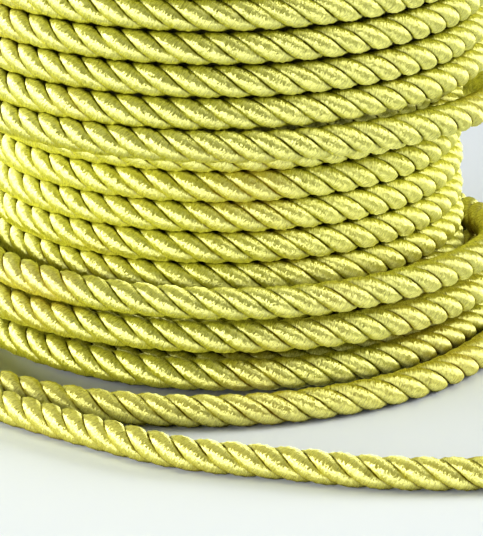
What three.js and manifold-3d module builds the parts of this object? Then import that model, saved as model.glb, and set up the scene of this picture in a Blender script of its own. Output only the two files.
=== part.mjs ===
// A roll of twisted satin cord. Three strands are laid together to the right into a cord
// five millimetres across, and the cord is wound in layers into an upright roll that is
// open along its middle. The lowest turns of the outer layer have come loose and dropped,
// and the cord's end runs off them and lies round the roll on the table.
//
// Millimetres, +Z up. The origin is on the roll's axis, in the plane that the roll stands on.
// Places on the winding are given in turns: whole numbers are at the front of the roll (-Y),
// and the cord runs on anticlockwise, seen from above, and down.

import * as THREE from 'three';
import { mergeVertices } from 'three/addons/utils/BufferGeometryUtils.js';
import Module from 'manifold-3d';

// Driving dimensions
const CORD_DIAMETER = 5;
const STRANDS = 3;
const LAY_LENGTH = 12.2; // one full twist of the three strands
const ROLL_HEIGHT = 98;
const LAYERS = 6;
const OUTER_LAYER_RADIUS = 39.9; // to the middle of the cord
const LAYER_STEP = 4.6;
const OUTER_PITCH = 4.97; // from one turn to the next in the outer layer
const INNER_PITCH = 4.69;
const FACE_GAP = 0.3; // between two solids that touch

const CORD_RADIUS = CORD_DIAMETER / 2;
const INNER_LAYER_RADIUS = OUTER_LAYER_RADIUS - LAYER_STEP;
const BORE_RADIUS = OUTER_LAYER_RADIUS - (LAYERS - 1) * LAYER_STEP - CORD_RADIUS;

// The layers' outermost turns, from the top down: the full outer layer ends at turn 3,
// and below it the next layer in shows.
const LAST_OUTER_TURN = { turn: 3, height: 46.2 };
const FIRST_INNER_TURN = { turn: 4, height: 38.3 };
const TURNS_ABOVE = 12;
const TURNS_BELOW = 9;
const LAYER_CHANGE = 0.3; // part of a turn by which each layer runs past its last front
const outerHeight = (turn) => LAST_OUTER_TURN.height + (LAST_OUTER_TURN.turn - turn) * OUTER_PITCH;
const innerHeight = (turn) => FIRST_INNER_TURN.height - (turn - FIRST_INNER_TURN.turn) * INNER_PITCH;

// The loosened turns, a row for each quarter of a turn, or closer where one drops.
const LOOSE_TURNS = [
  { turn: 3.0, radius: 39.9, height: 46.2 },
  { turn: 3.25, radius: 39.9, height: 45.0 },
  { turn: 3.5, radius: 39.9, height: 43.8 },
  { turn: 3.75, radius: 40.1, height: 42.7 },
  { turn: 4.0, radius: 41.1, height: 41.5 },
  { turn: 4.17, radius: 42.2, height: 39.5 },
  { turn: 4.33, radius: 42.4, height: 33.3 },
  { turn: 4.5, radius: 42.0, height: 27.5 },
  { turn: 4.75, radius: 41.5, height: 20.4 },
  { turn: 5.0, radius: 42.4, height: 17.8 },
  { turn: 5.17, radius: 43.0, height: 16.6 },
  { turn: 5.32, radius: 41.9, height: 12.5 },
  { turn: 5.5, radius: 42.0, height: 12.8 },
  { turn: 5.75, radius: 42.6, height: 14.1 },
  { turn: 6.0, radius: 41.7, height: 12.4 },
  { turn: 6.17, radius: 41.5, height: 10.5 },
  { turn: 6.33, radius: 40.6, height: 8.1 },
  { turn: 6.5, radius: 41.0, height: 8.2 },
  { turn: 6.75, radius: 40.8, height: 8.6 },
  { turn: 7.0, radius: 41.0, height: 6.2 },
  { turn: 7.17, radius: 40.1, height: 4.4 },
  { turn: 7.33, radius: 41.3, height: 2.75 },
  { turn: 7.5, radius: 42.7, height: 2.6 },
];
const LOOSE_TURNS_START = 3.25;
const CORD_EXIT_TURN = 7.35; // where the free end begins, behind the roll on its right

// The free end's route, from the exit to the tip: first on along the last loosened turn,
// then on the table.
const TURNS_PAST_EXIT = [0, 0.015, 0.05];
const TABLE_HEIGHT = CORD_RADIUS + 0.05;
const END_ROUTE = [
  [15.2, 40.0, 2.7], [0.0, 43.0], [-16.0, 40.9], [-30.5, 33.0], [-41.5, 20.0], [-47.1, 3.5],
  [-45.9, -12.5], [-38.3, -27.9], [-26.4, -38.8], [-12.3, -44.9], [2.3, -46.5], [17.0, -43.1],
  [30.0, -34.9], [39.6, -22.1], [45.6, -7.0], [47.3, 8.5], [42.3, 24.5], [32.0, 37.8],
  [17.5, 46.8], [0.5, 50.5], [-17.0, 48.3], [-33.0, 40.0], [-45.5, 26.3], [-52.4, 9.0],
  [-52.6, -9.5], [-46.4, -26.5], [-34.6, -40.4], [-20.6, -53.1], [-6.4, -63.6], [8.0, -68.8],
  [22.0, -73.5], [36.2, -74.9], [46.0, -74.2], [54.0, -72.2],
];

// Fineness of the solids
const SIDES_ROUND_ROLL = 36;
const SIDES_OF_LOOSE_TURN = 8;
const STEPS_PER_LOOSE_TURN = 40;
const POINTS_PER_STRAND = 3;
const STEPS_PER_LAY = 6;
const LENGTH_SAMPLES = 1200; // along the free end, when its length is measured
const MERGE_DISTANCE = 1e-4;

const satin = new THREE.MeshStandardMaterial({ color: 0xc9c84e, roughness: 0.38, metalness: 0 });
const satinEnd = new THREE.MeshStandardMaterial({ color: 0xc8bf4a, roughness: 0.38, metalness: 0 });

const wasm = await Module();
wasm.setup();

function solidOf(geometry) {
  const bare = geometry.clone();
  bare.deleteAttribute('normal');
  bare.deleteAttribute('uv');
  const merged = mergeVertices(bare, MERGE_DISTANCE);
  const mesh = new wasm.Mesh({
    numProp: 3,
    vertProperties: new Float32Array(merged.attributes.position.array),
    triVerts: new Uint32Array(merged.index.array),
  });
  return new wasm.Manifold(mesh);
}

function geometryOf(solid) {
  const mesh = solid.getMesh();
  const geometry = new THREE.BufferGeometry();
  geometry.setAttribute('position', new THREE.BufferAttribute(new Float32Array(mesh.vertProperties), 3));
  geometry.setIndex(new THREE.BufferAttribute(new Uint32Array(mesh.triVerts), 1));
  return geometry;
}

const angleAt = (turn) => 2 * Math.PI * turn - Math.PI / 2;
const onWinding = (turn, radius, height) => new THREE.Vector3(
  radius * Math.cos(angleAt(turn)), radius * Math.sin(angleAt(turn)), height);

// Radius and height of the outermost tight turn, which steps in behind the roll where the
// outer layer has come off.
function tightTurnAt(turn) {
  const outerEnd = LAST_OUTER_TURN.turn + LAYER_CHANGE;
  const innerStart = FIRST_INNER_TURN.turn - LAYER_CHANGE;
  if (turn <= outerEnd) return { radius: OUTER_LAYER_RADIUS, height: outerHeight(turn) };
  if (turn >= innerStart) return { radius: INNER_LAYER_RADIUS, height: innerHeight(turn) };
  const part = (turn - outerEnd) / (innerStart - outerEnd);
  return {
    radius: THREE.MathUtils.lerp(OUTER_LAYER_RADIUS, INNER_LAYER_RADIUS, part),
    height: THREE.MathUtils.lerp(outerHeight(outerEnd), innerHeight(innerStart), part),
  };
}

// The wound form as one screw-shaped skin: every turn is a rounded ridge of two crest lines,
// with a valley line below it. It runs past both ends of the roll, where it is cut flat.
function tightWinding() {
  const crest = { out: 0.88 * CORD_RADIUS, up: 0.45 * CORD_RADIUS };
  const valleyOut = 0.1 * CORD_RADIUS;
  const firstTurn = LAST_OUTER_TURN.turn - TURNS_ABOVE;
  const lastTurn = FIRST_INNER_TURN.turn + TURNS_BELOW;
  const columns = [];
  for (let column = 0; column < SIDES_ROUND_ROLL; column += 1) {
    const points = [];
    for (let whole = firstTurn; whole < lastTurn; whole += 1) {
      const turn = whole + column / SIDES_ROUND_ROLL;
      const here = tightTurnAt(turn);
      const below = tightTurnAt(turn + 1);
      const valleyRadius = Math.min(here.radius, below.radius) + valleyOut;
      points.push(onWinding(turn, here.radius + crest.out, here.height + crest.up));
      points.push(onWinding(turn, here.radius + crest.out, here.height - crest.up));
      points.push(onWinding(turn, valleyRadius, (here.height + below.height) / 2));
    }
    columns.push(points);
  }

  const linesPerTurn = 3;
  const lines = columns[0].length;
  const lastColumn = SIDES_ROUND_ROLL - 1;
  const topCentre = new THREE.Vector3(0, 0, columns[0][0].z);
  const bottomCentre = new THREE.Vector3(0, 0, columns[lastColumn][lines - 1].z);
  const corners = [];
  for (let column = 0; column < SIDES_ROUND_ROLL; column += 1) {
    // One column past the last is the first again, a turn further down.
    const shift = column === lastColumn ? linesPerTurn : 0;
    const left = columns[column];
    const right = columns[(column + 1) % SIDES_ROUND_ROLL];
    for (let line = 0; line + 1 + shift < lines; line += 1) {
      corners.push(left[line], left[line + 1], right[line + 1 + shift]);
      corners.push(left[line], right[line + 1 + shift], right[line + shift]);
    }
    corners.push(left[0], right[shift], topCentre);
    corners.push(right[lines - 1], left[lines - 1 - shift], bottomCentre);
  }
  for (let line = 0; line < linesPerTurn; line += 1) {
    const fromBottom = lines - 1 - linesPerTurn + line;
    corners.push(columns[0][line + 1], columns[0][line], topCentre);
    corners.push(columns[lastColumn][fromBottom], columns[lastColumn][fromBottom + 1], bottomCentre);
  }
  const geometry = new THREE.BufferGeometry().setFromPoints(corners);
  return solidOf(geometry);
}

// The roll's envelope: a flat foot, an open bore, and a top where each layer's last turn
// stands up as a ring.
function envelope() {
  const clearOfRoll = 60;
  const ringHalfWidth = 0.45 * CORD_RADIUS;
  const grooveDepth = 0.6 * CORD_RADIUS;
  const profile = [new THREE.Vector2(clearOfRoll, 0)];
  profile.push(new THREE.Vector2(clearOfRoll, ROLL_HEIGHT - grooveDepth));
  for (let layer = 0; layer < LAYERS; layer += 1) {
    const radius = OUTER_LAYER_RADIUS - layer * LAYER_STEP;
    profile.push(new THREE.Vector2(radius + LAYER_STEP / 2, ROLL_HEIGHT - grooveDepth));
    profile.push(new THREE.Vector2(radius + ringHalfWidth, ROLL_HEIGHT));
    profile.push(new THREE.Vector2(radius - ringHalfWidth, ROLL_HEIGHT));
  }
  profile.push(new THREE.Vector2(BORE_RADIUS, ROLL_HEIGHT - grooveDepth));
  profile.push(new THREE.Vector2(BORE_RADIUS, 0));
  profile.push(profile[0].clone());
  const geometry = new THREE.LatheGeometry(profile, SIDES_ROUND_ROLL);
  geometry.rotateX(Math.PI / 2);
  return solidOf(geometry);
}

// A smooth line through the rows of the loosened turns, read by turn.
const looseTurnLine = new THREE.CatmullRomCurve3(
  LOOSE_TURNS.map((row) => new THREE.Vector3(row.turn, row.radius, row.height)), false, 'catmullrom');

function looseTurnAt(turn) {
  const first = LOOSE_TURNS[0].turn;
  const last = LOOSE_TURNS[LOOSE_TURNS.length - 1].turn;
  const row = looseTurnLine.getPoint((turn - first) / (last - first));
  return onWinding(turn, row.y, row.z);
}

class LooseTurnPath extends THREE.Curve {
  constructor(start, end) {
    super();
    this.start = start;
    this.end = end;
  }

  getPoint(part) {
    return looseTurnAt(THREE.MathUtils.lerp(this.start, this.end, part));
  }
}

function roundSection(radius, sides) {
  const points = [];
  for (let side = 0; side < sides; side += 1) {
    const angle = 2 * Math.PI * side / sides;
    points.push(new THREE.Vector2(radius * Math.cos(angle), radius * Math.sin(angle)));
  }
  return new THREE.Shape(points);
}

function loosenedTurns() {
  const gapInTurns = FACE_GAP / (2 * Math.PI * OUTER_LAYER_RADIUS);
  const path = new LooseTurnPath(LOOSE_TURNS_START, CORD_EXIT_TURN - gapInTurns);
  const steps = Math.round((CORD_EXIT_TURN - LOOSE_TURNS_START) * STEPS_PER_LOOSE_TURN);
  const section = roundSection(CORD_RADIUS, SIDES_OF_LOOSE_TURN);
  return solidOf(new THREE.ExtrudeGeometry(section, { steps, extrudePath: path, curveSegments: 1 }));
}

// A section of round-backed strands, three points to a strand: one in the groove, two on its back.
function strandedSection() {
  const grooveRadius = 0.7 * CORD_RADIUS;
  const points = [];
  for (let index = 0; index < STRANDS * POINTS_PER_STRAND; index += 1) {
    const angle = 2 * Math.PI * index / (STRANDS * POINTS_PER_STRAND);
    const radius = index % POINTS_PER_STRAND === 0 ? grooveRadius : CORD_RADIUS;
    points.push(new THREE.Vector2(radius * Math.cos(angle), radius * Math.sin(angle)));
  }
  return new THREE.Shape(points);
}

// Turns every ring of a tube about its own middle, so that the strands run round the cord.
function layStrands(geometry, path, steps) {
  const centres = path.getSpacedPoints(steps);
  const length = path.getLength();
  const position = geometry.attributes.position;
  const corner = new THREE.Vector3();
  for (let index = 0; index < position.count; index += 1) {
    corner.fromBufferAttribute(position, index);
    let ring = 0;
    let nearest = Infinity;
    centres.forEach((centre, candidate) => {
      const distance = centre.distanceToSquared(corner);
      if (distance < nearest) {
        nearest = distance;
        ring = candidate;
      }
    });
    const twist = 2 * Math.PI * (ring / steps) * length / LAY_LENGTH;
    corner.sub(centres[ring]);
    corner.applyAxisAngle(path.getTangentAt(ring / steps), twist);
    corner.add(centres[ring]);
    position.setXYZ(index, corner.x, corner.y, corner.z);
  }
}

function looseEnd() {
  const onTable = END_ROUTE.map(([x, y, z = TABLE_HEIGHT]) => new THREE.Vector3(x, y, z));
  const onLastTurn = TURNS_PAST_EXIT.map((turns) => looseTurnAt(CORD_EXIT_TURN + turns));
  const path = new THREE.CatmullRomCurve3([...onLastTurn, ...onTable]);
  path.arcLengthDivisions = LENGTH_SAMPLES;
  const steps = Math.round(path.getLength() / LAY_LENGTH * STEPS_PER_LAY);
  const section = strandedSection();
  const geometry = new THREE.ExtrudeGeometry(section, { steps, extrudePath: path, curveSegments: 1 });
  layStrands(geometry, path, steps);
  return geometry;
}

const wound = tightWinding().intersect(envelope()).add(loosenedTurns());
const roll = new THREE.Mesh(geometryOf(wound), satin);
roll.name = 'wound_roll';

const end = new THREE.Mesh(looseEnd(), satinEnd);
end.name = 'loose_end';

const cord = new THREE.Group();
cord.add(roll, end);

export default cord;
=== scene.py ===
# %% [markdown]
# # A roll of twisted satin cord
# The real object is one long cord. Three strands, each wrapped in shiny polyester filament, are
# laid together to the right, and the cord is wound in layers into an upright roll. The lowest
# outer turns have come loose, and the cord's end lies round the roll on the table.
# We make it as it is in life: a route for the cord, and strands that follow the route.
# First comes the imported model, whose bodies and box every piece here has to keep to.

# %% Load the frame
import math
import bmesh
import bpy
import numpy as np
from mathutils import Matrix, Vector


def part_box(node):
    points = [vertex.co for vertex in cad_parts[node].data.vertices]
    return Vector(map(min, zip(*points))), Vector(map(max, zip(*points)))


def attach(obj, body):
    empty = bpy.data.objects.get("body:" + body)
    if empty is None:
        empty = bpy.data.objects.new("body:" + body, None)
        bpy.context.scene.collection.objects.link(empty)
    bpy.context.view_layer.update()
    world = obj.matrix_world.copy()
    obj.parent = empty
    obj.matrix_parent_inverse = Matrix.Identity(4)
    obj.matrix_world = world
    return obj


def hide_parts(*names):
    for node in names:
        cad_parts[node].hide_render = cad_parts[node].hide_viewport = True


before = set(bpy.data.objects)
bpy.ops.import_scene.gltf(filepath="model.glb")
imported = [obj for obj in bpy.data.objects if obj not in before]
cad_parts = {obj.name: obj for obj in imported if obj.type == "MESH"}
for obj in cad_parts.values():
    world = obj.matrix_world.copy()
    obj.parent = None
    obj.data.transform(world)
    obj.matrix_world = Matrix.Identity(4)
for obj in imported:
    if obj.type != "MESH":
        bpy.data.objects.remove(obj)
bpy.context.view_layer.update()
roll_low, roll_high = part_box("wound_roll")

# %% [markdown]
# ## The camera
# The picture was taken from a little above, with a long lens. A camera can be placed by eye, but
# a few measured values are easier to change: the point it looks at, how far away it stands, the
# angle from which it looks down, and how much it is tipped to one side. The focal length in
# pixels, times the sensor's size over the picture's height, gives the lens in millimetres.

# %% Camera
PICTURE_SIZE = (483, 536)
FOCAL_LENGTH_PIXELS = 4761
SENSOR_MM = 36
NEAREST_SEEN = 0.01
LOOK_AT = Vector((0.00305, 0, 0.00917))
CAMERA_DISTANCE = 0.7433
CAMERA_ELEVATION = math.radians(18.36)
CAMERA_TIP = math.radians(-1.325)


def add_camera():
    back = Vector((0, -math.cos(CAMERA_ELEVATION), math.sin(CAMERA_ELEVATION)))
    level_right = Vector((1, 0, 0))
    level_up = back.cross(level_right)
    right = level_right * math.cos(CAMERA_TIP) + level_up * math.sin(CAMERA_TIP)
    up = level_up * math.cos(CAMERA_TIP) - level_right * math.sin(CAMERA_TIP)
    data = bpy.data.cameras.new("camera")
    data.sensor_fit = "AUTO"
    data.sensor_width = SENSOR_MM
    data.lens = SENSOR_MM * FOCAL_LENGTH_PIXELS / max(PICTURE_SIZE)
    data.clip_start = NEAREST_SEEN
    camera = bpy.data.objects.new("camera", data)
    turned = Matrix((right, up, back)).transposed().to_4x4()
    camera.matrix_world = Matrix.Translation(LOOK_AT + back * CAMERA_DISTANCE) @ turned
    bpy.context.scene.collection.objects.link(camera)
    bpy.context.scene.camera = camera
    return camera


camera = add_camera()
print("lens, mm:", round(camera.data.lens, 1))

# %% [markdown]
# ## The cord's route
# A wound cord is a rule, not a drawing: so many turns, at this radius, this far apart. So each
# stretch of it is worked out as rows of turn, radius and height. A whole turn is at the front of
# the roll, and the cord runs on anticlockwise, seen from above. The stretches that show follow
# each other in this order: down the layer that shows below, in rings across the foot, up the
# bore, out in rings across the top, down the outer layer, and round the loosened turns.

# %% The roll's sizes, in metres
CORD_DIAMETER = 0.005
CORD_RADIUS = CORD_DIAMETER / 2
LAY_LENGTH = 0.0122
LAYERS = 6
LAYER_STEP = 0.0046
OUTER_RADIUS = 0.0399
UNDER_RADIUS = OUTER_RADIUS - LAYER_STEP
BORE_TURN_RADIUS = OUTER_RADIUS - (LAYERS - 1) * LAYER_STEP
OUTER_PITCH = 0.00497
UNDER_PITCH = 0.00469
LAST_OUTER_TURN = 3.0
LAST_OUTER_HEIGHT = 0.0462
FIRST_UNDER_TURN = 4.0
FIRST_UNDER_HEIGHT = 0.0383
UNDER_START_TURN = 2.2
TOP_HEIGHT = roll_high.z - CORD_RADIUS
FOOT_HEIGHT = CORD_RADIUS
CROSSING = 0.3
SAMPLES_PER_TURN = 120
print("bore, mm across:", round(2000 * (BORE_TURN_RADIUS - CORD_RADIUS), 1))

# %% Rows of turn, radius and height for a stretch of winding


def turns_between(first, last):
    count = math.ceil((last - first) * SAMPLES_PER_TURN)
    return np.linspace(first, last, max(2, count))


def helix(first_turn, last_turn, radius, first_height, last_height):
    turns = turns_between(first_turn, last_turn)
    heights = np.linspace(first_height, last_height, len(turns))
    return np.stack([turns, np.full(len(turns), radius), heights], axis=1)


def flat_rings(first_turn, first_radius, steps, step, height):
    """Rings that lie flat. Each crosses to the next radius in the first part of its turn."""
    turns = turns_between(first_turn, first_turn + steps - 1 + CROSSING)
    whole, part = np.divmod(turns - first_turn, 1)
    crossed = np.clip(part / CROSSING, 0, 1)
    radii = first_radius + step * (whole + crossed * crossed * (3 - 2 * crossed))
    return np.stack([turns, radii, np.full(len(turns), height)], axis=1)


def points_of(rows):
    angles = 2 * math.pi * rows[:, 0] - math.pi / 2
    return np.stack([rows[:, 1] * np.cos(angles), rows[:, 1] * np.sin(angles), rows[:, 2]], axis=1)


def length_of(points):
    return float(np.linalg.norm(np.diff(points, axis=0), axis=1).sum())


under_start_height = FIRST_UNDER_HEIGHT + (FIRST_UNDER_TURN - UNDER_START_TURN) * UNDER_PITCH
under_end_turn = UNDER_START_TURN + (under_start_height - FOOT_HEIGHT) / UNDER_PITCH
outer_start_turn = LAST_OUTER_TURN - (TOP_HEIGHT - LAST_OUTER_HEIGHT) / OUTER_PITCH
print("the layer below ends at turn", round(under_end_turn, 2),
      "and the outer one starts at", round(outer_start_turn, 2))

# %% [markdown]
# The rings on top have to end where the outer layer begins. The bore's turns can be a little
# closer or wider, so we round their number to the one that makes the angles meet. The radii don't
# meet, which is a fault: both sets of rings go one step further than the layers call for. So on
# top the cord ends outside the rim, and at the foot inside the bore. One step fewer in each call
# of flat_rings would mend it.

# %% The tight stretches
foot_rings = flat_rings(under_end_turn, UNDER_RADIUS, LAYERS - 1, -LAYER_STEP, FOOT_HEIGHT)
top_turns = LAYERS - 2 + CROSSING
bore_start_turn = foot_rings[-1, 0]
spare_turns = (outer_start_turn - top_turns - bore_start_turn) % 1
bore_turns = round((TOP_HEIGHT - FOOT_HEIGHT) / UNDER_PITCH - spare_turns) + spare_turns
top_start_turn = bore_start_turn + bore_turns

under_layer = helix(UNDER_START_TURN, under_end_turn, UNDER_RADIUS, under_start_height, FOOT_HEIGHT)
bore_lining = helix(bore_start_turn, top_start_turn, BORE_TURN_RADIUS, FOOT_HEIGHT, TOP_HEIGHT)
top_rings = flat_rings(top_start_turn, BORE_TURN_RADIUS, LAYERS, LAYER_STEP, TOP_HEIGHT)
outer_layer = helix(outer_start_turn, LAST_OUTER_TURN, OUTER_RADIUS, TOP_HEIGHT, LAST_OUTER_HEIGHT)
print("bore turns:", round(bore_turns, 2), "turns past a whole one where the top meets the side:",
      round((top_rings[-1, 0] - outer_start_turn) % 1, 3))

# %% [markdown]
# Nobody winds a cord perfectly evenly. Pairs of waves, which don't repeat with the turn, push
# each tight turn a tenth of a millimetre in or out and up or down.

# %% Make the tight turns a little uneven
UNEVEN_RADIUS = 0.00012
UNEVEN_HEIGHT = 0.00010
RADIUS_WAVES = ((9.1, 0.4), (23.7, 1.9))
HEIGHT_WAVES = ((7.3, 2.2), (17.9, 0.0))


def mean_of_waves(turns, waves):
    return sum(np.sin(pace * turns + start) for pace, start in waves) / len(waves)


def uneven(rows):
    turns = rows[:, 0]
    pushed = rows.copy()
    pushed[:, 1] += UNEVEN_RADIUS * mean_of_waves(turns, RADIUS_WAVES)
    pushed[:, 2] += UNEVEN_HEIGHT * mean_of_waves(turns, HEIGHT_WAVES)
    return pushed


outer_layer = uneven(outer_layer)
under_layer = uneven(under_layer)
bore_lining = uneven(bore_lining)
tight_stretches = (under_layer, foot_rings, bore_lining, top_rings, outer_layer)
tight_length = sum(length_of(points_of(rows)) for rows in tight_stretches)
print("cord in the tight stretches, m:", round(tight_length, 2))

# %% [markdown]
# ## The loosened turns and the free end
# These lie as they fell, so their points are listed: a row of turn, radius and height
# for each quarter turn, or closer where one drops, and then points on the table. A smooth line
# through points is easiest with Catmull-Rom pieces, which pass through every point and need no
# handles.

# %% The loosened turns and the end's route
LOOSE_TURNS = (
    (3.00, 0.0399, 0.0462), (3.25, 0.0399, 0.0450), (3.50, 0.0399, 0.0438), (3.75, 0.0401, 0.0427),
    (4.00, 0.0411, 0.0415), (4.17, 0.0422, 0.0395), (4.33, 0.0424, 0.0333), (4.50, 0.0420, 0.0275),
    (4.75, 0.0415, 0.0204), (5.00, 0.0424, 0.0178), (5.17, 0.0430, 0.0166), (5.32, 0.0419, 0.0125),
    (5.50, 0.0420, 0.0128), (5.75, 0.0426, 0.0141), (6.00, 0.0417, 0.0124), (6.17, 0.0415, 0.0105),
    (6.33, 0.0406, 0.0081), (6.50, 0.0410, 0.0082), (6.75, 0.0408, 0.0086), (7.00, 0.0410, 0.0062),
    (7.17, 0.0401, 0.0044), (7.33, 0.0413, 0.00275), (7.50, 0.0427, 0.0026),
)
CORD_EXIT_TURN = 7.35
TURNS_PAST_EXIT = (0, 0.015, 0.05)
TABLE_HEIGHT = 0.00255
END_ROUTE = (
    (0.0152, 0.0400, 0.0027),
    (0.0000, 0.0430), (-0.0160, 0.0409), (-0.0305, 0.0330), (-0.0415, 0.0200), (-0.0471, 0.0035),
    (-0.0459, -0.0125), (-0.0383, -0.0279), (-0.0264, -0.0388), (-0.0123, -0.0449),
    (0.0023, -0.0465), (0.0170, -0.0431), (0.0300, -0.0349), (0.0396, -0.0221), (0.0456, -0.0070),
    (0.0473, 0.0085), (0.0423, 0.0245), (0.0320, 0.0378), (0.0175, 0.0468), (0.0005, 0.0505),
    (-0.0170, 0.0483), (-0.0330, 0.0400), (-0.0455, 0.0263), (-0.0524, 0.0090),
    (-0.0526, -0.0095), (-0.0464, -0.0265), (-0.0346, -0.0404), (-0.0206, -0.0531),
    (-0.0064, -0.0636), (0.0080, -0.0688), (0.0220, -0.0735), (0.0362, -0.0749),
    (0.0460, -0.0742), (0.0540, -0.0722),
)
SAMPLES_PER_POINT = 24


def smooth_line(points, evenness):
    """Catmull-Rom through the points. Evenness 0 counts every step alike, 0.5 by its root."""
    points = np.array(points, float)
    points = np.vstack([2 * points[0] - points[1], points, 2 * points[-1] - points[-2]])
    part = np.linspace(0, 1, SAMPLES_PER_POINT, endpoint=False)[:, None]
    line = []
    for before, start, end, after in zip(points, points[1:], points[2:], points[3:]):
        gaps = [max(np.linalg.norm(b - a), 1e-9) ** evenness
                for a, b in ((before, start), (start, end), (end, after))]
        leave = ((start - before) / gaps[0] - (end - before) / (gaps[0] + gaps[1])
                 + (end - start) / gaps[1]) * gaps[1]
        arrive = ((end - start) / gaps[1] - (after - start) / (gaps[1] + gaps[2])
                  + (after - end) / gaps[2]) * gaps[1]
        line.append((2 * part ** 3 - 3 * part ** 2 + 1) * start
                    + (part ** 3 - 2 * part ** 2 + part) * leave
                    + (3 * part ** 2 - 2 * part ** 3) * end + (part ** 3 - part ** 2) * arrive)
    return np.vstack([*line, points[-2]])


loose_rows = smooth_line(LOOSE_TURNS, evenness=0)


def loose_turn_at(turn):
    return [turn, *(np.interp(turn, loose_rows[:, 0], loose_rows[:, column]) for column in (1, 2))]


loosened_turns = np.array([loose_turn_at(turn)
                           for turn in turns_between(LAST_OUTER_TURN, CORD_EXIT_TURN)])
exit_rows = np.array([loose_turn_at(CORD_EXIT_TURN + past) for past in TURNS_PAST_EXIT])
on_table = [(*point[:2], point[2] if len(point) > 2 else TABLE_HEIGHT) for point in END_ROUTE]
end_points = smooth_line([*points_of(exit_rows), *on_table], evenness=0.5)
end_bounds = np.array([end_points.min(0), end_points.max(0)])
print("bounds of its middle line, mm:", np.round(1000 * end_bounds, 1).tolist())

# %% [markdown]
# ## Three strands round one route
# The strands could be modelled by hand, twisted with modifiers, or swept as three helices. Sweeping
# follows any route, so a small Geometry Nodes tree does it: take the route, make three copies,
# push each copy off the route in a direction that turns once in every lay length, and sweep an
# oval along it. The oval is wider than it is high, because strands that are laid together press
# each other flat. The tree also leaves three attributes on the surface: the place on the strand,
# along it and around it; the strand's own direction; and how far out from the cord's middle a
# point lies. The satin finish needs them, because its filaments are wrapped across the strand
# and it paints shade into the grooves between strands.

# %% Small helpers for node trees


def add_node(tree, kind, inputs=None, **settings):
    """A new node. Inputs are values or other nodes' outputs, by the socket's name or number."""
    made = tree.nodes.new(kind)
    for name, value in settings.items():
        setattr(made, name, value)
    for key, value in (inputs or {}).items():
        if isinstance(value, bpy.types.NodeSocket):
            tree.links.new(value, made.inputs[key])
        else:
            made.inputs[key].default_value = value
    return made


def calculate(tree, operation, *values):
    node = add_node(tree, "ShaderNodeMath", dict(enumerate(values)), operation=operation)
    return node.outputs["Value"]


def vector(tree, operation, *values, scale=None):
    inputs = dict(enumerate(values))
    if scale is not None:
        inputs["Scale"] = scale
    node = add_node(tree, "ShaderNodeVectorMath", inputs, operation=operation)
    return node.outputs["Value" if operation in ("DOT_PRODUCT", "LENGTH") else "Vector"]


# %% The tree's inputs
STRANDS = 3
STEPS_PER_LAY = 14
TREE_INPUTS = (
    ("Cord radius", "NodeSocketFloat", CORD_RADIUS),
    ("Strand height", "NodeSocketFloat", 0.47),
    ("Strand width", "NodeSocketFloat", 0.58),
    ("Lay length", "NodeSocketFloat", LAY_LENGTH),
    ("Length before", "NodeSocketFloat", 0.0),
    ("Step length", "NodeSocketFloat", LAY_LENGTH / STEPS_PER_LAY),
    ("Sides", "NodeSocketInt", 10),
    ("Sealed length", "NodeSocketFloat", 0.0),
    ("Unevenness", "NodeSocketFloat", 0.03),
    ("Seed", "NodeSocketFloat", 3.0),
)


def store(tree, geometry, name, value, kind="FLOAT_VECTOR"):
    """Keep a value on every point, under a name."""
    node = add_node(tree, "GeometryNodeStoreNamedAttribute", {
        "Geometry": geometry, "Name": name, "Value": value}, data_type=kind, domain="POINT")
    return node.outputs["Geometry"]


def stored(tree, name, kind="FLOAT_VECTOR"):
    node = add_node(tree, "GeometryNodeInputNamedAttribute", {"Name": name}, data_type=kind)
    return node.outputs["Attribute"]


def position(tree):
    return add_node(tree, "GeometryNodeInputPosition").outputs[0]


def share_of_radius(tree, given, share):
    return calculate(tree, "MULTIPLY", given["Cord radius"], given[share])


print("step along the cord, mm:", round(1000 * LAY_LENGTH / STEPS_PER_LAY, 2))

# %% [markdown]
# The route is cut into even steps. Each step keeps where the cord's middle is, how much cord
# came before it, and how full the cord is there. It is full everywhere but at a sealed tip,
# which is rounded off.

# %% The route in steps
SHORTEST_SEAL = 1e-6
SMALLEST_TIP = 0.02


def measured_route(tree, given):
    route = add_node(tree, "GeometryNodeResampleCurve", {
        "Curve": given["Route"], "Length": given["Step length"]}, mode="LENGTH")
    upright = add_node(tree, "GeometryNodeSetCurveNormal", {"Curve": route.outputs[0]}, mode="Z_UP")
    so_far = add_node(tree, "GeometryNodeSplineParameter").outputs["Length"]
    whole_length = add_node(tree, "GeometryNodeSplineLength").outputs["Length"]
    to_end = calculate(tree, "SUBTRACT", whole_length, so_far)
    sealed = calculate(tree, "MAXIMUM", given["Sealed length"], SHORTEST_SEAL)
    open_part = calculate(tree, "MINIMUM", calculate(tree, "DIVIDE", to_end, sealed), 1.0)
    full = calculate(tree, "SQRT", calculate(tree, "MAXIMUM", open_part, SMALLEST_TIP))
    along = calculate(tree, "ADD", so_far, given["Length before"])
    line = store(tree, upright.outputs[0], "middle", position(tree))
    line = store(tree, line, "along", along, "FLOAT")
    return store(tree, line, "full", full, "FLOAT")


# %% [markdown]
# The route's normal points up, and its cross product with the tangent points sideways. Cosine
# and sine of the twist's angle mix the two into the direction in which a strand lies from the
# middle. The three strands are a third of a turn apart.

# %% Three helices


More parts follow.
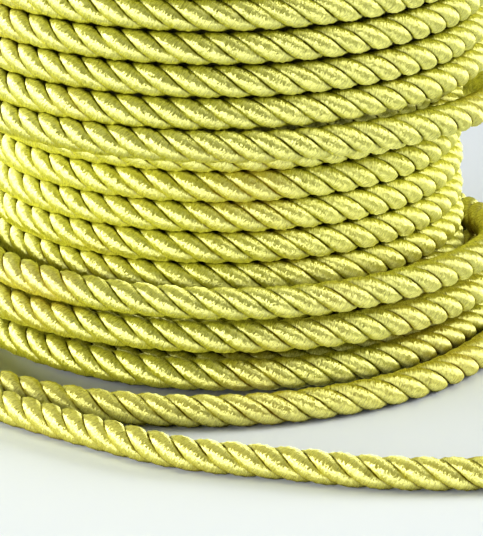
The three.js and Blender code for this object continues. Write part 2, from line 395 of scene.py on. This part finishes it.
def strand_helices(tree, given, route):
    copies = add_node(tree, "GeometryNodeDuplicateElements", {
        "Geometry": route, "Amount": STRANDS}, domain="SPLINE")
    number = copies.outputs["Duplicate Index"]
    lays = calculate(tree, "DIVIDE", stored(tree, "along", "FLOAT"), given["Lay length"])
    angle = calculate(tree, "ADD", calculate(tree, "MULTIPLY", lays, 2 * math.pi),
                      calculate(tree, "MULTIPLY", number, 2 * math.pi / STRANDS))
    normal = add_node(tree, "GeometryNodeInputNormal").outputs["Normal"]
    tangent = add_node(tree, "GeometryNodeInputTangent").outputs["Tangent"]
    sideways = vector(tree, "CROSS_PRODUCT", tangent, normal)
    outward = vector(
        tree, "ADD", vector(tree, "SCALE", normal, scale=calculate(tree, "COSINE", angle)),
        vector(tree, "SCALE", sideways, scale=calculate(tree, "SINE", angle)))
    line = store(tree, copies.outputs["Geometry"], "outward", outward)
    outward = stored(tree, "outward")
    off_route = calculate(tree, "SUBTRACT", given["Cord radius"],
                          share_of_radius(tree, given, "Strand height"))
    off_route = calculate(tree, "MULTIPLY", off_route, stored(tree, "full", "FLOAT"))
    helices = add_node(tree, "GeometryNodeSetPosition", {
        "Geometry": line, "Offset": vector(tree, "SCALE", outward, scale=off_route)})
    facing = add_node(tree, "GeometryNodeSetCurveNormal", {
        "Curve": helices.outputs[0], "Normal": outward}, mode="FREE")
    return store(tree, facing.outputs[0], "strand_axis", tangent), number


# %% [markdown]
# A strand is an oval swept along its helix. A noise along the strand makes it a little thicker
# and thinner, because no yarn is even. The swept surface then gets the two attributes that
# can't be known before: its place on the strand, and its reach from the cord's middle.

# %% Sweep the strands
BULGES_PER_LAY = 2.0
BULGE_SPREAD = 7.0


def strand_thickness(tree, given, number):
    place = add_node(tree, "ShaderNodeCombineXYZ", {
        0: calculate(tree, "DIVIDE", stored(tree, "along", "FLOAT"), given["Lay length"]),
        1: calculate(tree, "MULTIPLY", number, BULGE_SPREAD), 2: given["Seed"]})
    noise = add_node(tree, "ShaderNodeTexNoise", {
        "Vector": place.outputs[0], "Scale": BULGES_PER_LAY})
    bulge = calculate(tree, "MULTIPLY", calculate(tree, "SUBTRACT", noise.outputs[0], 0.5),
                      given["Unevenness"])
    bulge = calculate(tree, "ADD", 1.0, calculate(tree, "MULTIPLY", bulge, 2.0))
    return calculate(tree, "MULTIPLY", bulge, stored(tree, "full", "FLOAT"))


def oval_profile(tree, given):
    circle = add_node(tree, "GeometryNodeCurvePrimitiveCircle", {
        "Resolution": given["Sides"], "Radius": 1.0})
    size = add_node(tree, "ShaderNodeCombineXYZ", {
        0: share_of_radius(tree, given, "Strand height"),
        1: share_of_radius(tree, given, "Strand width"), 2: 1.0})
    oval = add_node(tree, "GeometryNodeTransform", {
        "Geometry": circle.outputs[0], "Scale": size.outputs[0]})
    return store(tree, oval.outputs[0], "ring", position(tree))


def swept_strands(tree, given, helices, number):
    swept = add_node(tree, "GeometryNodeCurveToMesh", {
        "Curve": helices, "Profile Curve": oval_profile(tree, given), "Fill Caps": True,
        "Scale": strand_thickness(tree, given, number)})
    ring = add_node(tree, "ShaderNodeSeparateXYZ", {0: stored(tree, "ring")})
    wrap = add_node(tree, "ShaderNodeCombineXYZ", {
        0: stored(tree, "along", "FLOAT"), 1: ring.outputs[0], 2: ring.outputs[1]})
    mesh = store(tree, swept.outputs[0], "wrap", wrap.outputs[0])
    from_middle = vector(tree, "LENGTH", vector(
        tree, "SUBTRACT", position(tree), stored(tree, "middle")))
    reach = calculate(tree, "DIVIDE", from_middle, given["Cord radius"])
    return store(tree, mesh, "reach", reach, "FLOAT")


# %% The whole tree
SPARE_ATTRIBUTES = ("along", "full", "ring", "middle", "outward")


def strand_tree():
    tree = bpy.data.node_groups.new("three_strands", "GeometryNodeTree")
    tree.interface.new_socket("Route", in_out="INPUT", socket_type="NodeSocketGeometry")
    for name, kind, value in TREE_INPUTS:
        tree.interface.new_socket(name, in_out="INPUT", socket_type=kind).default_value = value
    tree.interface.new_socket("Material", in_out="INPUT", socket_type="NodeSocketMaterial")
    tree.interface.new_socket("Strands", in_out="OUTPUT", socket_type="NodeSocketGeometry")
    given = tree.nodes.new("NodeGroupInput").outputs
    helices, number = strand_helices(tree, given, measured_route(tree, given))
    mesh = swept_strands(tree, given, helices, number)
    for spare in SPARE_ATTRIBUTES:
        mesh = add_node(tree, "GeometryNodeRemoveAttribute", {
            "Geometry": mesh, "Name": spare}).outputs[0]
    smooth = add_node(tree, "GeometryNodeSetShadeSmooth", {"Geometry": mesh})
    real = add_node(tree, "GeometryNodeRealizeInstances", {"Geometry": smooth.outputs[0]})
    finished = add_node(tree, "GeometryNodeSetMaterial", {
        "Geometry": real.outputs[0], "Material": given["Material"]})
    tree.links.new(finished.outputs[0], tree.nodes.new("NodeGroupOutput").inputs[0])
    return tree


three_strands = strand_tree()
print("nodes in the strand tree:", len(three_strands.nodes))

# %% [markdown]
# A modifier reads its inputs by the socket's identifier, so a small function looks each name up,
# runs the tree on a route, and keeps the result as a plain mesh.

# %% Lay strands along points


def set_inputs(modifier, values):
    for item in modifier.node_group.interface.items_tree:
        if item.in_out == "INPUT" and item.name in values:
            modifier[item.identifier] = values[item.name]


def lay_cord(name, points, material, **inputs):
    """A new mesh object: three strands along the points."""
    line = bpy.data.curves.new(name + "_route", "CURVE")
    line.dimensions = "3D"
    spline = line.splines.new("POLY")
    spline.points.add(len(points) - 1)
    spline.points.foreach_set("co", np.hstack([points, np.ones((len(points), 1))]).ravel())
    guide = bpy.data.objects.new(name + "_route", line)
    bpy.context.scene.collection.objects.link(guide)
    modifier = guide.modifiers.new("strands", "NODES")
    modifier.node_group = three_strands
    set_inputs(modifier, {"Material": material, **inputs})
    graph = bpy.context.evaluated_depsgraph_get()
    mesh = bpy.data.meshes.new_from_object(guide.evaluated_get(graph))
    bpy.data.objects.remove(guide)
    bpy.data.curves.remove(line)
    piece = bpy.data.objects.new(name, mesh)
    bpy.context.scene.collection.objects.link(piece)
    faces = sum(len(face.vertices) - 2 for face in mesh.polygons)
    print(name, "triangles:", faces)
    return piece


# %% [markdown]
# ## The satin finish
# Each strand's skin is hundreds of fine, bright filaments wrapped across it. They could be
# modelled, but at a tenth of a millimetre they are finer than the mesh. Instead the shader does
# what they do to light: they stretch highlights along the strand, which anisotropy gives with
# the strand's direction as tangent, and bundles of them lean a little to and fro, which breaks
# the edges of each highlight into a hatch.

# %% The hatch of the filaments
BUNDLE_WIDTH = 0.00014
BUNDLE_LENGTH = 0.0006
BUNDLE_DETAIL = 2.0
FILAMENT_WIDTH = 0.00008
FILAMENT_LENGTH = 0.0030
FILAMENT_DETAIL = 1.0
HATCH_ROUGHNESS = 0.6
HATCH_CONTRAST = (0.34, 0.66)
BUNDLE_LEAN = 0.5
BUNDLE_SHARE = 0.6
FILAMENT_SHARE = 0.4
BUMP_STRENGTH = 0.5
BUMP_DISTANCE = 0.00012


def ranged(tree, value, between, low=0.0, high=1.0):
    """The value, spread from low to high between two limits."""
    node = add_node(tree, "ShaderNodeMapRange", {
        "Value": value, "From Min": between[0], "From Max": between[1], "To Min": low,
        "To Max": high})
    return node.outputs[0]


def from_surface(tree, name, output="Vector"):
    return add_node(tree, "ShaderNodeAttribute", attribute_name=name).outputs[output]


def wrapped_noise(tree, place, width, length, detail):
    """Noise in streaks, narrow along the strand and long round it."""
    stretched = vector(tree, "MULTIPLY", place, (1 / width, 1 / length, 1 / length))
    noise = add_node(tree, "ShaderNodeTexNoise", {
        "Vector": stretched, "Scale": 1.0, "Detail": detail, "Roughness": HATCH_ROUGHNESS})
    return ranged(tree, noise.outputs[0], HATCH_CONTRAST)


def hatch(tree, axis):
    """The height of the filaments, and a normal that leans with their bundles."""
    place = from_surface(tree, "wrap")
    bundles = wrapped_noise(tree, place, BUNDLE_WIDTH, BUNDLE_LENGTH, BUNDLE_DETAIL)
    filaments = wrapped_noise(tree, place, FILAMENT_WIDTH, FILAMENT_LENGTH, FILAMENT_DETAIL)
    normal = add_node(tree, "ShaderNodeNewGeometry").outputs["Normal"]
    lean = calculate(tree, "MULTIPLY", calculate(tree, "SUBTRACT", bundles, 0.5), BUNDLE_LEAN)
    around = vector(tree, "CROSS_PRODUCT", axis, normal)
    leaning = vector(tree, "NORMALIZE", vector(
        tree, "ADD", normal, vector(tree, "SCALE", around, scale=lean)))
    height = calculate(tree, "ADD", calculate(tree, "MULTIPLY", bundles, BUNDLE_SHARE),
                       calculate(tree, "MULTIPLY", filaments, FILAMENT_SHARE))
    bump = add_node(tree, "ShaderNodeBump", {
        "Strength": BUMP_STRENGTH, "Distance": BUMP_DISTANCE, "Height": height,
        "Normal": leaning})
    return height, bump.outputs["Normal"]


print("filaments to a lay length:", round(LAY_LENGTH / FILAMENT_WIDTH))

# %% [markdown]
# Colour and gloss fall off in the groove between two strands, in some places more than in
# others: painted shade, for the shadow that falls in the groove. The reach attribute tells the
# shader where the groove is. The nooks between turns get darker painted shade still, and no
# attribute knows them, so an Ambient Occlusion node looks for them.

# %% Painted shade in grooves and nooks
GROOVE_REACH = (0.835, 0.89)
PATCHES = 300.0
PATCH_CONTRAST = (0.45, 0.65)
PALEST_GROOVE_SHADE = 0.8
NOOK_SIZE = 0.005
NOOK_LIGHT = (0.05, 0.28)
NOOK_SAMPLES = 6


def out_of_groove_shade(tree, where):
    # Painted shade: the groove between strands is darkened, more in some patches than in others.
    patches = add_node(tree, "ShaderNodeTexNoise", {"Vector": where, "Scale": PATCHES})
    paleness = ranged(tree, patches.outputs[0], PATCH_CONTRAST, high=PALEST_GROOVE_SHADE)
    return ranged(tree, from_surface(tree, "reach", "Fac"), GROOVE_REACH, low=paleness)


def out_of_nook_shade(tree):
    # Painted shade: an Ambient Occlusion node finds the nooks between turns, and they are darkened.
    nook = add_node(tree, "ShaderNodeAmbientOcclusion", {"Distance": NOOK_SIZE},
                    samples=NOOK_SAMPLES)
    return ranged(tree, nook.outputs["AO"], NOOK_LIGHT)


print("groove, mm from the cord's middle, up to:", round(1000 * CORD_RADIUS * GROOVE_REACH[1], 2))

# %% [markdown]
# One recipe makes three finishes. The layer below is a little paler than the outer turns:
# painted light, a lit copy of the outer finish against the shade that falls on it. The free end
# is warmer. Each has a light and a deep colour for the hatch, a colour of painted shade for the
# grooves, and a brownish one for a few soft spots. The gloss follows the hatch too.

# %% Satin material
NOOK_SHADE_COLOUR = (0.015, 0.013, 0.001, 1)
SPOTS = 45.0
SPOT_DETAIL = 2.0
SPOT_CONTRAST = (0.52, 0.72)
GLOSS_OF_HATCH = 0.7
LEAST_GLOSS = 0.45
GLOSS_TINT = (1.0, 0.99, 0.36, 1)
SATIN_ROUGHNESS = 0.55
SATIN_STRETCH = 0.97
SATIN_IOR = 4.5


def mixed_colour(tree, factor, first, second):
    node = add_node(tree, "ShaderNodeMix", data_type="RGBA")
    for key, value in ((0, factor), (6, first), (7, second)):
        if isinstance(value, bpy.types.NodeSocket):
            tree.links.new(value, node.inputs[key])
        else:
            node.inputs[key].default_value = value
    return node.outputs[2]


def satin(name, light, deep, groove_shade, warm, warm_amount):
    material = bpy.data.materials.new(name)
    material.use_nodes = True
    tree = material.node_tree
    shader = tree.nodes["Principled BSDF"]
    axis = from_surface(tree, "strand_axis")
    height, leaning = hatch(tree, axis)
    where = add_node(tree, "ShaderNodeTexCoord").outputs["Object"]
    outside_groove_shade = out_of_groove_shade(tree, where)
    lit = out_of_nook_shade(tree)

    shade = mixed_colour(tree, height, deep, light)
    # Painted shade in the grooves between strands.
    shade = mixed_colour(tree, outside_groove_shade, groove_shade, shade)
    # Painted shade in the nooks between turns.
    shade = mixed_colour(tree, lit, NOOK_SHADE_COLOUR, shade)
    spots = add_node(tree, "ShaderNodeTexNoise", {
        "Vector": where, "Scale": SPOTS, "Detail": SPOT_DETAIL})
    spot = ranged(tree, spots.outputs[0], SPOT_CONTRAST, high=warm_amount)
    tree.links.new(mixed_colour(tree, spot, shade, warm), shader.inputs["Base Color"])

    # The gloss is dimmed by the same painted shade in the grooves and the nooks.
    gloss = calculate(tree, "ADD", calculate(tree, "MULTIPLY", height, GLOSS_OF_HATCH), LEAST_GLOSS)
    gloss = calculate(tree, "MULTIPLY", outside_groove_shade, gloss)
    gloss = calculate(tree, "MULTIPLY", lit, gloss)
    tree.links.new(gloss, shader.inputs["Specular IOR Level"])
    tree.links.new(leaning, shader.inputs["Normal"])
    tree.links.new(axis, shader.inputs["Tangent"])
    shader.inputs["Specular Tint"].default_value = GLOSS_TINT
    shader.inputs["Roughness"].default_value = SATIN_ROUGHNESS
    shader.inputs["Anisotropic"].default_value = SATIN_STRETCH
    shader.inputs["IOR"].default_value = SATIN_IOR
    return material


lime_satin = satin(
    "lime_satin", light=(0.62, 0.60, 0.012, 1), deep=(0.12, 0.115, 0.002, 1),
    groove_shade=(0.06, 0.052, 0.001, 1), warm=(0.42, 0.22, 0.015, 1), warm_amount=0.35)
# Painted light: a paler copy of the outer finish, for the layer below, which lies in shade.
painted_light_under_satin = satin(
    "painted_light_under_satin", light=(0.72, 0.70, 0.020, 1), deep=(0.22, 0.21, 0.005, 1),
    groove_shade=(0.08, 0.07, 0.001, 1), warm=(0.42, 0.22, 0.015, 1), warm_amount=0.35)
golden_satin = satin(
    "golden_satin", light=(0.76, 0.66, 0.016, 1), deep=(0.16, 0.125, 0.002, 1),
    groove_shade=(0.07, 0.048, 0.001, 1), warm=(0.48, 0.25, 0.02, 1), warm_amount=0.45)
print("finishes:", [material.name for material in (lime_satin, painted_light_under_satin, golden_satin)])

# %% [markdown]
# ## Lay the cord
# One cord of this length would be a very heavy mesh, so it is laid in stretches, each a piece of
# its own. Each stretch is told how much cord came before it, so that its strands go on from
# there, and the joints are behind the roll or inside it. Stretches that hardly show have fewer
# sides, to keep the model light. They are also a little thinner, as cord is that is pressed from
# all sides.

# %% Stretches of cord
BACK_TURN_HIGH = -1.5
BACK_TURN_LOW = 3.5
TURN_TOLERANCE = 1e-9
THINNER = 0.95
SIDES_SEEN = 12
SIDES_ON_TOP = 10
SIDES_HIDDEN = 8
tight_then_loose = np.vstack([outer_layer[:-1], loosened_turns])
outside = points_of(tight_then_loose)
outside_turns = tight_then_loose[:, 0]


def stretch_between(first_turn, last_turn):
    """The points between two turns, and the next one where there is one."""
    inside = ((outside_turns > first_turn - TURN_TOLERANCE)
              & (outside_turns < last_turn + TURN_TOLERANCE))
    first = int(np.argmax(inside))
    last = len(inside) - int(np.argmax(inside[::-1]))
    return outside[first:min(last + 1, len(outside))]


inside_stretches = (
    ("under_layer", points_of(under_layer), painted_light_under_satin, 1.0, SIDES_SEEN),
    ("foot_rings", points_of(foot_rings), lime_satin, THINNER, SIDES_HIDDEN),
    ("bore_lining", points_of(bore_lining), lime_satin, THINNER, SIDES_HIDDEN),
    ("top_rings", points_of(top_rings), lime_satin, THINNER, SIDES_ON_TOP),
)
outside_stretches = (
    ("outer_turns_high", outer_start_turn, BACK_TURN_HIGH),
    ("outer_turns_low", BACK_TURN_HIGH, BACK_TURN_LOW),
    ("loosened_turns", BACK_TURN_LOW, CORD_EXIT_TURN),
)
pieces = []
length_before = 0.0
for name, points, finish, size, sides in inside_stretches:
    pieces.append(lay_cord(name, points, finish, **{
        "Length before": length_before, "Cord radius": CORD_RADIUS * size, "Sides": sides}))
    length_before += length_of(points)
for name, first_turn, last_turn in outside_stretches:
    points = stretch_between(first_turn, last_turn)
    pieces.append(lay_cord(name, points, lime_satin, **{
        "Length before": length_before, "Sides": SIDES_SEEN}))
    # The count stops one step short of the stretch's end.
    length_before += length_of(points) - length_of(points[-2:])
print("cord so far, m:", round(length_before, 2))

# %% The free end
SEALED_LENGTH = 0.0022
free_end = lay_cord("free_end", end_points, golden_satin, **{
    "Length before": length_before, "Sides": SIDES_SEEN, "Sealed length": SEALED_LENGTH})

# %% [markdown]
# ## The layers in between
# Between the outer layer and the bore lie turns that nobody sees. Laying them strand by strand
# would double the model for nothing, so they are one ribbed body, a rib to a turn. A profile that
# is turned about the axis is the quickest way to make it, and it keeps light from shining
# through the roll.

# %% Hidden turns
HIDDEN_CLEARANCE = 0.0008
HIDDEN_INSET = 0.0006
RIB_HEIGHT = 0.0004
SIDES_ROUND_ROLL = 64
POINTS_PER_RIB = 4


def rib_wave(height):
    return RIB_HEIGHT * math.cos(2 * math.pi * height / OUTER_PITCH)


def hidden_profile():
    low = CORD_DIAMETER + HIDDEN_CLEARANCE
    high = TOP_HEIGHT - CORD_RADIUS - HIDDEN_CLEARANCE
    count = int((high - low) / OUTER_PITCH * POINTS_PER_RIB)
    heights = np.linspace(low, high, count)
    bore_side = BORE_TURN_RADIUS + CORD_RADIUS
    step_height = LAST_OUTER_HEIGHT + CORD_RADIUS
    profile = []
    for height in heights:
        side = (OUTER_RADIUS if height > step_height else UNDER_RADIUS) - CORD_RADIUS
        profile.append((side - HIDDEN_INSET + rib_wave(height), height))
    for height in heights[::-1]:
        profile.append((bore_side + HIDDEN_INSET - rib_wave(height), height))
    return profile


def turned_body(name, profile, sides):
    mesh = bmesh.new()
    rings = []
    for side in range(sides):
        angle = 2 * math.pi * side / sides
        rings.append([mesh.verts.new((radius * math.cos(angle), radius * math.sin(angle), height))
                      for radius, height in profile])
    for side, ring in enumerate(rings):
        following = rings[(side + 1) % sides]
        for index in range(len(profile)):
            after = (index + 1) % len(profile)
            mesh.faces.new((ring[index], following[index], following[after], ring[after]))
    bmesh.ops.recalc_face_normals(mesh, faces=mesh.faces)
    data = bpy.data.meshes.new(name)
    mesh.to_mesh(data)
    mesh.free()
    piece = bpy.data.objects.new(name, data)
    bpy.context.scene.collection.objects.link(piece)
    return piece


hidden_turns = turned_body("hidden_turns", hidden_profile(), SIDES_ROUND_ROLL)
pieces.append(hidden_turns)
print("hidden turns, faces:", len(hidden_turns.data.polygons))

# %% A dark finish for them: painted shade, for the shadow inside the roll
FIBRES = 900.0
FIBRE_DETAIL = 3.0
FIBRE_STRENGTH = 0.4
FIBRE_DISTANCE = 0.0002
SHADOW_ROUGHNESS = 0.6
SHADOW_DEEP = (0.05, 0.045, 0.006, 1)
SHADOW_LIGHT = (0.16, 0.15, 0.03, 1)


def shadowed_satin():
    material = bpy.data.materials.new("shadowed_satin")
    material.use_nodes = True
    tree = material.node_tree
    shader = tree.nodes["Principled BSDF"]
    where = add_node(tree, "ShaderNodeTexCoord").outputs["Object"]
    fibres = add_node(tree, "ShaderNodeTexNoise", {
        "Vector": where, "Scale": FIBRES, "Detail": FIBRE_DETAIL})
    colour = mixed_colour(tree, fibres.outputs[0], SHADOW_DEEP, SHADOW_LIGHT)
    tree.links.new(colour, shader.inputs["Base Color"])
    bump = add_node(tree, "ShaderNodeBump", {
        "Strength": FIBRE_STRENGTH, "Distance": FIBRE_DISTANCE, "Height": fibres.outputs[0]})
    tree.links.new(bump.outputs["Normal"], shader.inputs["Normal"])
    shader.inputs["Roughness"].default_value = SHADOW_ROUGHNESS
    return material


hidden_turns.data.materials.append(shadowed_satin())
print("finish of the hidden turns:", hidden_turns.data.materials[0].name)

# %% [markdown]
# ## Floor and light
# The picture has a pale, almost shadowless surround. A large plane and a pale sky give it. Each
# strand has a wide pale band on its left and a thin bright line on its right. So a wide, low
# light stands at the left, a narrow one at the right, and a weak one hangs above: the wider the
# light, the wider its band.

# %% Stage
FLOOR_COLOUR = (0.71, 0.745, 0.785, 1)
FLOOR_ROUGHNESS = 0.6
FLOOR_SIZE = 6


def pale_floor():
    bpy.ops.mesh.primitive_plane_add(size=FLOOR_SIZE)
    floor = bpy.context.object
    floor.name = "floor"
    material = bpy.data.materials.new("pale_floor")
    material.use_nodes = True
    shader = material.node_tree.nodes["Principled BSDF"]
    shader.inputs["Base Color"].default_value = FLOOR_COLOUR
    shader.inputs["Roughness"].default_value = FLOOR_ROUGHNESS
    floor.data.materials.append(material)
    return floor


floor = pale_floor()
print("floor, m across:", FLOOR_SIZE)

# %% Light
LIGHTS_POINT_AT = Vector((0, 0, 0.04))
WHITE = (1.0, 1.0, 0.99)
COOL_WHITE = (0.97, 1.0, 0.98)
SKY_COLOUR = (0.90, 0.97, 0.93, 1)
SKY_STRENGTH = 0.17


def area_light(name, direction, distance, width, height, power, colour):
    data = bpy.data.lights.new(name, "AREA")
    data.shape = "RECTANGLE"
    data.size = width
    data.size_y = height
    data.energy = power
    data.color = colour
    light = bpy.data.objects.new(name, data)
    towards = Vector(direction).normalized()
    light.location = LIGHTS_POINT_AT + towards * distance
    light.rotation_mode = "QUATERNION"
    light.rotation_quaternion = towards.to_track_quat("Z", "Y")
    bpy.context.scene.collection.objects.link(light)
    return light


area_light("left_light", (-0.93, -0.36, 0.18), distance=1.3, width=3.2, height=0.6, power=60.0,
           colour=WHITE)
area_light("right_light", (0.95, 0.05, 0.30), distance=1.3, width=0.6, height=0.9, power=25.0,
           colour=WHITE)
area_light("top_light", (-0.1, 0.0, 0.98), distance=1.0, width=0.8, height=0.8, power=3.0,
           colour=COOL_WHITE)

world = bpy.data.worlds.new("pale_room")
world.use_nodes = True
sky = world.node_tree.nodes["Background"]
sky.inputs["Color"].default_value = SKY_COLOUR
sky.inputs["Strength"].default_value = SKY_STRENGTH
bpy.context.scene.world = world
bpy.context.scene.view_settings.view_transform = "Standard"

# %% [markdown]
# ## Attach the pieces
# Every piece rides on the model's one body, and the imported solids that they stand for are
# hidden.

# %% Pieces and the cord
for piece in pieces:
    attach(piece, "root")
    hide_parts("wound_roll")
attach(free_end, "root")
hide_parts("loose_end")
print("pieces:", len(pieces) + 1)
